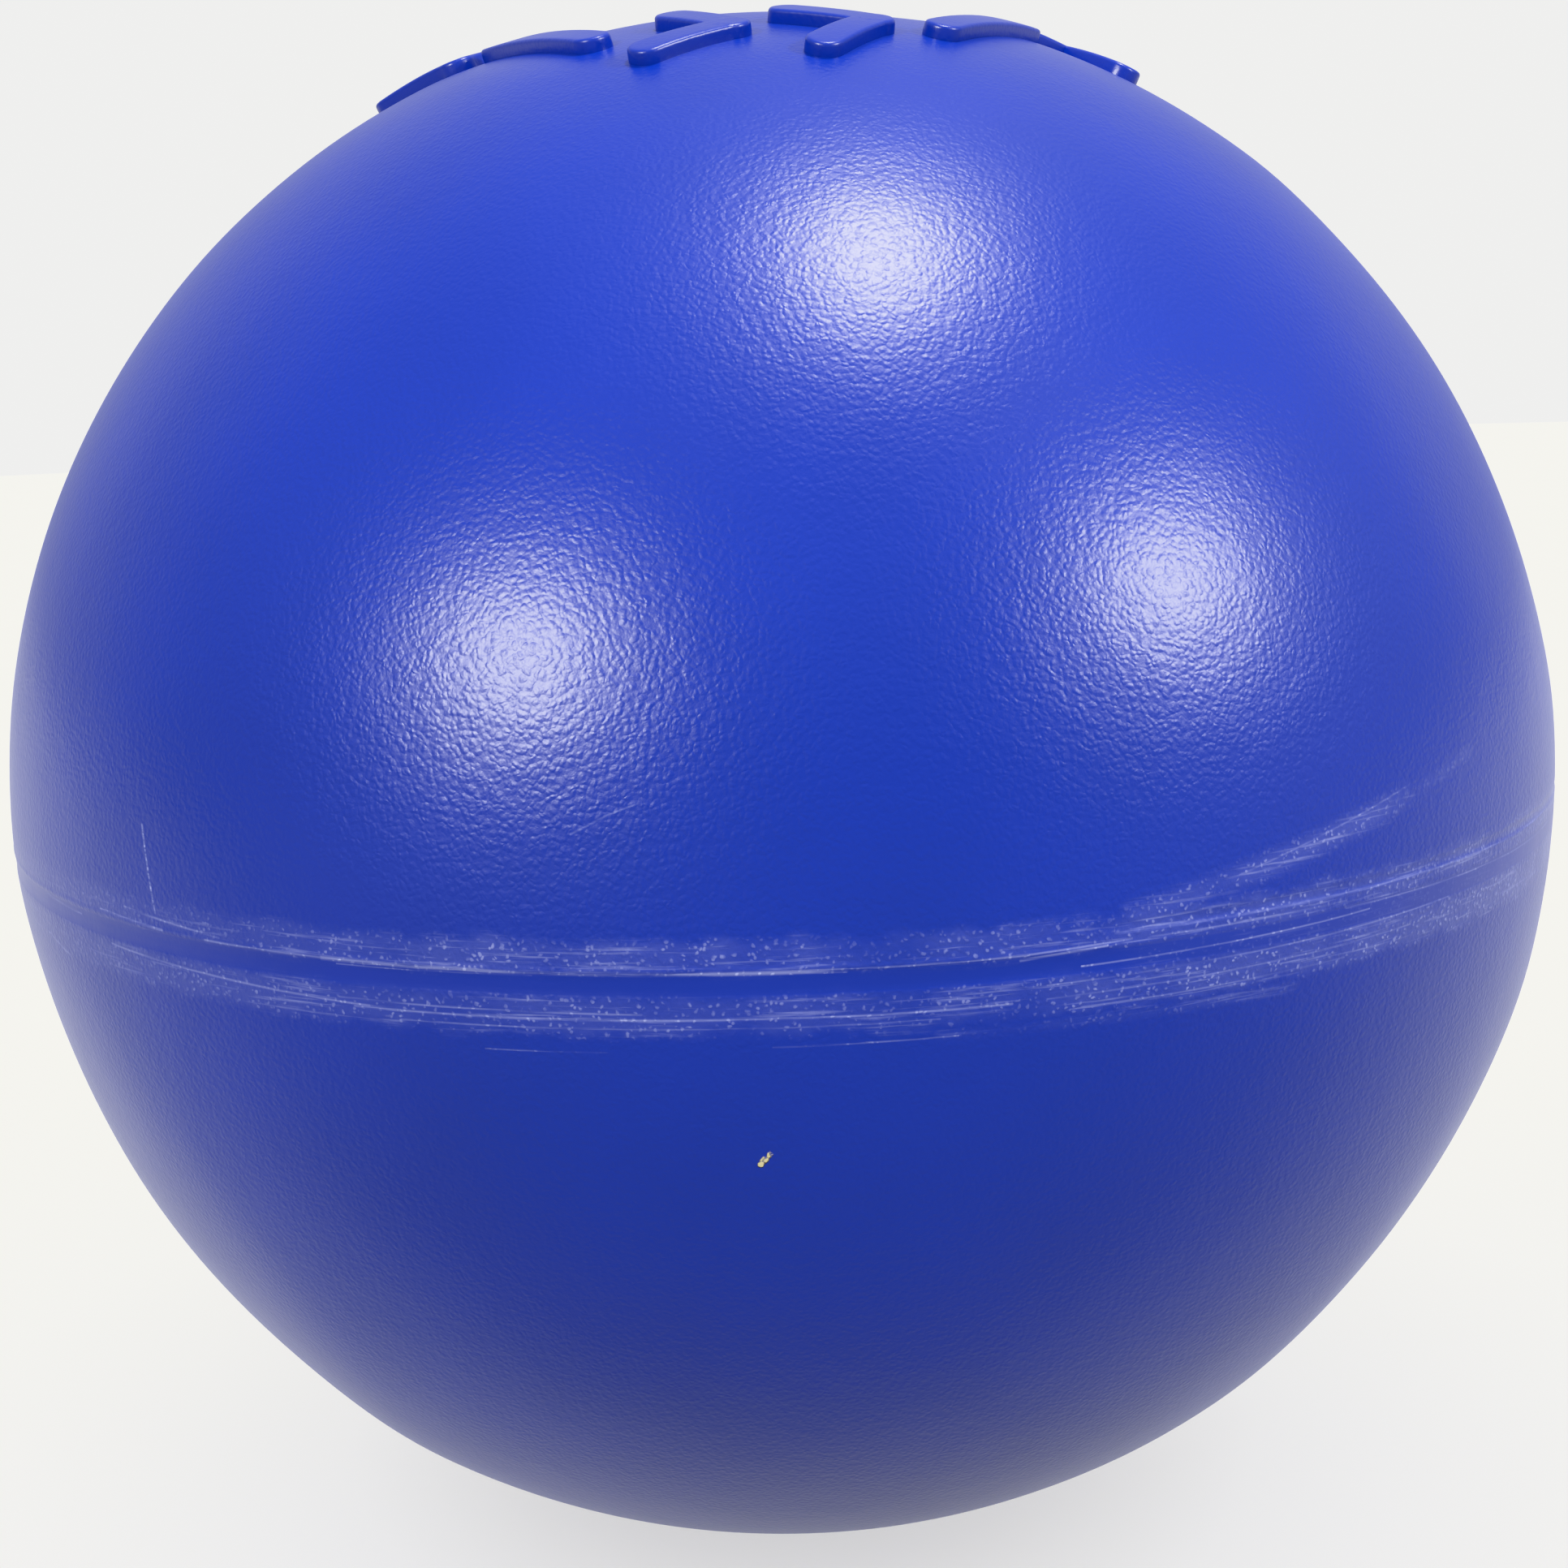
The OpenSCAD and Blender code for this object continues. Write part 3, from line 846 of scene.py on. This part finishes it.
# Washed quartz sand, sieved to about 0.5 mm: pale tan with grains from near white to brown, and matt.
def quartz_sand():
    """Dry quartz sand."""
    material, tree = blank("Quartz sand, dry")
    place = add(tree, PAINT_GROUP, node_tree=place_group())["Place"]
    grains = add(tree, CELLS, {"Vector": place, "Scale": 1 / 0.5})
    base = bpy.context.scene.skin_finish.sand
    pick = add(tree, SPLIT, [grains["Color"]])["X"]
    tone = add(tree, BLEND, {"Factor": pick, 6: base, 7: shade(base, 0.45)}, data_type="RGBA")
    dome = add(tree, RANGE, {"Value": grains["Distance"], "From Max": 0.7, "To Min": 0.2, "To Max": 0.0})
    end_material(tree, tone, 0.85, dome)
    return material


# A board painted with matt emulsion, seen from above. From below it lets the view through.
def painted_floor():
    """Matt paint of the floor."""
    material, tree = blank("Matt paint, rolled")
    raw = add(tree, "ShaderNodeTexCoord")["Object"]
    base = bpy.context.scene.studio.floor
    clouds = add(tree, NOISE, {"Vector": raw, "Scale": 20.0})
    tone = add(tree, BLEND, {"Factor": clouds, 6: base, 7: shade(base, 0.97)}, data_type="RGBA")
    paint = add(tree, "ShaderNodeBsdfPrincipled", {"Base Color": tone, "Roughness": 0.8})
    back = add(tree, "ShaderNodeNewGeometry")["Backfacing"]
    shader = add(tree, "ShaderNodeMixShader", [back, paint, add(tree, "ShaderNodeBsdfTransparent")])
    add(tree, "ShaderNodeOutputMaterial", {"Surface": shader})
    return material


# ---------------------------------------------------------------- pieces

SKIN_STEP = 1.4 * MM
INSIDE_STEP = 4 * MM
WELD_STEP = 0.15 * MM
FITTING_TURNS = 120


def hand_over(obj, node):
    """Puts a finished piece in the frame in place of its CAD node."""
    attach(obj, "root")
    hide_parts(node)


def stroke_body(name, width, height):
    """A raised stroke laid along X, with nearly upright sides, a rounded upper edge and a flat top."""
    edge = 0.35 * MM
    radius = width / 2
    quarter = [math.pi / 2 * i / 4 for i in range(5)]
    levels = [(-0.10 * MM, -1.0 * MM), (-0.05 * MM, 0.3 * MM)]
    levels += [(edge * (1 - math.cos(a)), height - edge + edge * math.sin(a)) for a in quarter]
    levels += [(radius * part, height) for part in (0.45, 0.75, 0.98)]
    straight = [STROKE_HALF * (1 - i / 6) for i in range(1, 12)]
    end_turns = [math.pi / 2 * i / 8 for i in range(9)]
    bm = bmesh.new()
    loops = []
    for inset, z in levels:
        r = radius - inset
        cap = [(STROKE_HALF + r * math.cos(a), r * math.sin(a)) for a in end_turns]
        upper = cap + [(x, r) for x in straight] + [(-x, y) for x, y in reversed(cap)]
        loop = upper + [(x, -y) for x, y in reversed(upper[1:-1])]
        loops.append([bm.verts.new((x, y, z)) for x, y in loop])
    count = len(loops[0])
    for low, high in zip(loops, loops[1:]):
        for i in range(count):
            j = (i + 1) % count
            bm.faces.new((low[i], low[j], high[j], high[i]))
    for i in range(count // 2):
        across = (i, i + 1, -i - 1, -i)
        bm.faces.new(list(dict.fromkeys(loops[-1][k] for k in across)))
        bm.faces.new(list(dict.fromkeys(loops[0][k] for k in reversed(across))))
    return as_object(name, bm)


# How much of the slope outside the filler boss stands clear of the inside of the skin.
SLOPE_SHARE = 7 / 8


def lap_joint(shape):
    """Inside radius of the skin's arc, then the radius and top of the lower half's spigot."""
    spigot = BALL_R - shape.wall + shape.spigot_wall
    return ARC_R - shape.wall, spigot, EQUATOR_Z + shape.spigot_height


class BALL_OT_upper_half(bpy.types.Operator):
    """Turn the upper half of the skin and raise its ring of strokes"""
    bl_idname = "ball.upper_half"
    bl_label = "Upper half and strokes"

    def execute(self, context):
        shape = context.scene.ball_shape
        inner, lap, lap_top = lap_joint(shape)
        outline = [(0, BALL_TOP)]
        outline += arc(ARC_R, 0, from_pole(ARC_R, WELD_HIGH), SKIN_STEP)
        outline += [(BALL_R - shape.weld_depth, EQUATOR_Z), (lap, EQUATOR_Z), (lap, lap_top)]
        outline += arc(inner, from_pole(inner, lap_top), 0, INSIDE_STEP)
        outline += [(0, BALL_TOP - shape.wall)]
        skin = lathe("upper_half", outline, SKIN_TURNS)
        grow(skin, skin_tree(), material=vinyl("skin"))

        # Each row of strokes: its turn from the first pair, angle from the pole, lean, whether every
        # other one leans the other way, and the stroke's length.
        half_arm = shape.arm_length * math.cos(shape.arm_lean) / BALL_R / 2
        rows = [(side * shape.arrow_gap / 2, shape.ring_angle + arm * half_arm, arm * shape.arm_lean, 0.0,
                 shape.arm_length) for side in (-1, 1) for arm in (-1, 1)]
        rows.append((math.pi / shape.repeats, shape.ring_angle - shape.bar_rise, shape.bar_tilt, 1.0,
                     shape.bar_length))
        for turn, pole_angle, lean, alternate, long in rows:
            row = stroke_body("stroke_row", shape.stroke_width, shape.stroke_height)
            grow(row, stroke_tree(), length=long, repeats=shape.repeats,
                 first_turn=shape.front_turn + turn, from_pole=pole_angle, lean=lean, alternate=alternate,
                 material=vinyl("strokes"))
            union = skin.modifiers.new("Raise strokes", "BOOLEAN")
            union.operation = "UNION"
            union.solver = "MANIFOLD"
            union.material_mode = "TRANSFER"
            union.object = row
            before = len(skin.data.polygons)
            settle(skin)
            bpy.data.objects.remove(row)
            if len(skin.data.polygons) <= before:
                raise RuntimeError("the strokes didn't join the upper half")
        hand_over(skin, "upper_shell")
        return {"FINISHED"}


class BALL_OT_lower_half(bpy.types.Operator):
    """Turn the lower half of the skin, with its spigot, land, filler pocket and boss"""
    bl_idname = "ball.lower_half"
    bl_label = "Lower half"

    def execute(self, context):
        shape, filler = context.scene.ball_shape, context.scene.filler_shape
        inner, lap, lap_top = lap_joint(shape)
        ledge = COLLAR_FACE + filler.flange
        foot = filler.boss_radius + filler.boss_taper * SLOPE_SHARE
        foot_angle = math.pi - math.asin((foot - POLE_DROP) / inner)
        outside = arc(ARC_R, from_pole(ARC_R, WELD_LOW), from_pole(ARC_R, 0), SKIN_STEP)
        inside = arc(inner, foot_angle, from_pole(inner, lap_top), INSIDE_STEP)
        pocket = [(COLLAR_D / 2, 0), (COLLAR_D / 2, ledge), (filler.barrel_radius, ledge),
                  (filler.barrel_radius, COLLAR_TOP), (filler.boss_radius, COLLAR_TOP),
                  (filler.boss_radius, shape.wall + filler.boss_taper)]
        corners = rounded(outside[-2:] + pocket + inside[:2], 2 * filler.edge)
        outline = outside[:-2] + corners + inside[2:]
        outline += [(lap, lap_top), (lap, EQUATOR_Z), (BALL_R - shape.weld_depth, EQUATOR_Z)]
        skin = lathe("lower_half", outline, SKIN_TURNS)
        grow(skin, skin_tree(), material=vinyl("skin"))
        hand_over(skin, "lower_shell")
        return {"FINISHED"}


class BALL_OT_weld(bpy.types.Operator):
    """Turn the weld between the halves and pare it with the trimming knife"""
    bl_idname = "ball.weld"
    bl_label = "Weld"

    def execute(self, context):
        shape = context.scene.ball_shape
        outline = arc(ARC_R, from_pole(ARC_R, WELD_HIGH), from_pole(ARC_R, WELD_LOW), WELD_STEP)
        outline.append((BALL_R - shape.weld_depth, EQUATOR_Z))
        weld = lathe("weld", outline, WELD_TURNS)
        grow(weld, weld_tree(), trim_depth=shape.trim_depth, lip_height=shape.lip_height,
             material=vinyl("weld"))
        hand_over(weld, "seam_weld")
        return {"FINISHED"}


class BALL_OT_filler(bpy.types.Operator):
    """Turn the filler's collar, plug and sealing ring"""
    bl_idname = "ball.filler"
    bl_label = "Filler fittings"

    def execute(self, context):
        filler = context.scene.filler_shape
        seat = COLLAR_FACE + filler.seat_depth
        ledge = COLLAR_FACE + filler.flange
        thick = (SEAL_HIGH - SEAL_LOW) / 2
        seal_middle = SEAL_D / 2 - thick
        groove_low = seal_middle - filler.groove_width / 2
        groove_high = seal_middle + filler.groove_width / 2
        groove_end = seat + 2 * thick
        top = (filler.bore_radius + filler.barrel_radius) / 2
        outline = [(top, COLLAR_TOP), (filler.barrel_radius, COLLAR_TOP), (filler.barrel_radius, ledge),
                   (COLLAR_D / 2, ledge), (COLLAR_D / 2, COLLAR_FACE), (filler.seat_radius, COLLAR_FACE),
                   (filler.seat_radius, seat), (groove_high, seat), (groove_high, groove_end),
                   (groove_low, groove_end), (groove_low, seat), (filler.bore_radius, seat),
                   (filler.bore_radius, COLLAR_TOP), (top - filler.edge, COLLAR_TOP)]
        collar = lathe("collar", rounded(outline, filler.edge), FITTING_TURNS)
        collar.data.materials.append(collar_vinyl())
        hand_over(collar, "filler_bush")

        shank = filler.bore_radius - filler.shank_gap
        dimple_end = PLUG_FACE + filler.dimple_depth
        outline = [(0, PLUG_TIP), (filler.barb_tip_radius, PLUG_TIP), (filler.barb_radius, COLLAR_TOP),
                   (shank, COLLAR_TOP), (shank, seat), (PLUG_HEAD_R, seat), (PLUG_HEAD_R, PLUG_FACE),
                   (filler.dimple_radius, PLUG_FACE), (filler.dimple_radius, dimple_end), (0, dimple_end)]
        plug = lathe("plug", rounded(outline, filler.edge), FITTING_TURNS)
        plug.data.materials.append(plug_plastic())
        hand_over(plug, "filler_plug")

        sides = [2 * math.pi * i / 24 for i in range(24)]
        outline = [(seal_middle + thick * math.cos(a), SEAL_LOW + thick * (1 - math.sin(a))) for a in sides]
        seal = lathe("sealing_ring", outline, FITTING_TURNS)
        seal.data.materials.append(seal_rubber())
        hand_over(seal, "plug_seal")
        return {"FINISHED"}


class BALL_OT_sand(bpy.types.Operator):
    """Fill the ball with dry sand up to its level"""
    bl_idname = "ball.sand"
    bl_label = "Sand"

    def execute(self, context):
        shape, filler = context.scene.ball_shape, context.scene.filler_shape
        # The sand stops this far short of what it lies against.
        loose = 0.1 * MM
        inner = ARC_R - shape.wall - loose
        top = from_pole(inner, SAND_TOP)
        boss = filler.boss_radius + loose
        foot = boss + filler.boss_taper * SLOPE_SHARE
        foot_angle = math.pi - math.asin((foot - POLE_DROP) / inner)
        outline = [(r * MM, SAND_TOP) for r in range(int(POLE_DROP + inner * math.sin(top) / MM))]
        outline += arc(inner, top, foot_angle, INSIDE_STEP)
        outline += [(boss, shape.wall + filler.boss_taper), (boss, COLLAR_TOP + loose),
                    (filler.barb_radius, COLLAR_TOP + loose), (filler.barb_tip_radius, PLUG_TIP + loose),
                    (0, PLUG_TIP + loose)]
        sand = lathe("sand", outline, 2 * FITTING_TURNS)
        grow(sand, sand_tree(), material=quartz_sand())
        hand_over(sand, "sand_fill")
        return {"FINISHED"}


# The floor lies this far under the land, so the two never share a plane.
FLOOR_DROP = 0.05 * MM
# The middle of each lamp's reflection on the ball: its turn from the front and angle from the top
# pole, in degrees, then its shares of the lamp power and size.
GLINTS = [(8.4, 49.4, 1.15, 0.6), (-14.4, 73.7, 1.12, 1.25), (23.6, 70.9, 1.04, 1.25)]


def facing_centre(place):
    """The matrix of something at a place that looks at the ball's centre."""
    return Matrix.Translation(place) @ (CENTRE - place).to_track_quat("-Z", "Y").to_matrix().to_4x4()


def place_lamp(name, kind, place, power, lit, size=0.0):
    """Adds a lamp that faces the ball's centre and lights one collection only."""
    scene = bpy.context.scene
    data = bpy.data.lights.new(name, kind)
    data.energy = power
    data.color = scene.studio.lamp_colour[:3]
    if size:
        data.shape = "DISK"
        data.size = size
    lamp = bpy.data.objects.new(name, data)
    lamp.visible_camera = False
    lamp.light_linking.receiver_collection = lit
    lamp.matrix_world = facing_centre(place)
    scene.collection.objects.link(lamp)
    return lamp


def place_camera(place, studio):
    """Adds the scene's camera, which looks at the ball's centre."""
    scene = bpy.context.scene
    camera = bpy.data.objects.new("camera", bpy.data.cameras.new("camera"))
    camera.data.sensor_width = 36
    camera.data.lens = studio.lens
    camera.data.shift_x, camera.data.shift_y = studio.shift
    camera.data.clip_start = 10 * MM
    camera.matrix_world = facing_centre(place) @ Matrix.Rotation(studio.camera_roll, 4, "Z")
    scene.collection.objects.link(camera)
    scene.camera = camera


def light_room(studio):
    """Makes the world: plain white for the camera, and for everything else four levels of light that
    blend from the camera's side to the far side and from below to above."""
    world = bpy.data.worlds.new("Room")
    world.use_nodes = True
    tree = world.node_tree
    tree.nodes.clear()
    way = add(tree, SPLIT, [add(tree, "ShaderNodeNewGeometry")["Position"]])
    levels = [add(tree, RANGE, {"Value": way["Y"], "From Min": -0.3, "From Max": 0.9, "To Min": near,
                                "To Max": far}, interpolation_type="SMOOTHSTEP")
              for near, far in ((studio.below_near, studio.below_far), (studio.room_near, studio.room_far))]
    above = add(tree, RANGE, {"Value": way["Z"], "From Min": -0.1, "From Max": 0.0})
    light = add(tree, BLEND, {"Factor": above, "A": levels[0], "B": levels[1]})
    by_camera = add(tree, "ShaderNodeLightPath")["Is Camera Ray"]
    seen = add(tree, BLEND, {"Factor": by_camera, "A": light, "B": studio.backdrop})
    background = add(tree, "ShaderNodeBackground", {"Color": studio.room, "Strength": seen})
    add(tree, "ShaderNodeOutputWorld", {"Surface": background})
    bpy.context.scene.world = world


class BALL_OT_stage(bpy.types.Operator):
    """Set up the floor, the room, the lamps and the camera"""
    bl_idname = "ball.stage"
    bl_label = "Floor, lamps and camera"

    def execute(self, context):
        studio = context.scene.studio
        context.scene.view_settings.view_transform = "Khronos PBR Neutral"
        ground = lathe("floor", [(0, -FLOOR_DROP), (studio.floor_radius, -FLOOR_DROP)], 96)
        ground.data.materials.append(painted_floor())
        ground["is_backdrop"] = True

        height = studio.camera_height
        eye = CENTRE + BALL_R * studio.camera_reach * Vector((0, -math.cos(height), math.sin(height)))
        place_camera(eye, studio)

        # The ball and the floor are lit apart: each lamp lights only the things in one of these.
        ball_only, floor_only = (bpy.data.collections.new(name) for name in ("Lit ball", "Lit floor"))
        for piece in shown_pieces():
            ball_only.objects.link(piece)
        floor_only.objects.link(ground)
        for index, (turn, pole_angle, power, size) in enumerate(GLINTS):
            normal = on_ball(math.radians(turn), math.radians(pole_angle))
            glint = CENTRE + BALL_R * normal
            view = (eye - glint).normalized()
            away = 2 * normal.dot(view) * normal - view
            place_lamp(f"lamp_{index}", "AREA", glint + away * studio.lamp_reach,
                       studio.lamp_power * power, ball_only, studio.lamp_size * size)
        overhead = CENTRE + Vector((0, 0, studio.soft_reach))
        soft = place_lamp("soft_lamp", "AREA", overhead, studio.soft_power, ball_only, studio.soft_size)
        soft.visible_glossy = False
        floor_lamp = place_lamp("floor_lamp", "SUN", overhead, studio.floor_light, floor_only)
        floor_lamp.light_linking.blocker_collection = floor_only

        # The camera and the ball's gloss see a white floor, but the ball's own colour takes the light
        # from below out of the room, which is dim there.
        ground.visible_diffuse = False
        ground.visible_shadow = False
        light_room(studio)
        return {"FINISHED"}


# ---------------------------------------------------------------- add-on

BUILDERS = (BALL_OT_upper_half, BALL_OT_lower_half, BALL_OT_weld, BALL_OT_filler, BALL_OT_sand,
            BALL_OT_stage)


class BALL_PT_panel(bpy.types.Panel):
    """Lists the ball's builders in the order in which they run"""
    bl_idname = "BALL_PT_panel"
    bl_label = "Vinyl exercise ball"
    bl_space_type = "VIEW_3D"
    bl_region_type = "UI"
    bl_category = "Ball"

    def draw(self, context):
        for builder in BUILDERS:
            self.layout.operator(builder.bl_idname)
        for name, group in SETTINGS.items():
            box = self.layout.box()
            box.label(text=group.__doc__)
            for key in group.__annotations__:
                box.prop(getattr(context.scene, name), key)


def register():
    for cls in (*SETTINGS.values(), *BUILDERS, BALL_PT_panel):
        bpy.utils.register_class(cls)
    for name, group in SETTINGS.items():
        setattr(bpy.types.Scene, name, PointerProperty(type=group))


def unregister():
    for name in SETTINGS:
        delattr(bpy.types.Scene, name)
    for cls in reversed((*SETTINGS.values(), *BUILDERS, BALL_PT_panel)):
        bpy.utils.unregister_class(cls)


def main():
    """Registers the add-on and builds every piece in order."""
    register()
    for builder in BUILDERS:
        getattr(bpy.ops.ball, builder.bl_idname.split(".")[1])()


if __name__ == "__main__":
    main()
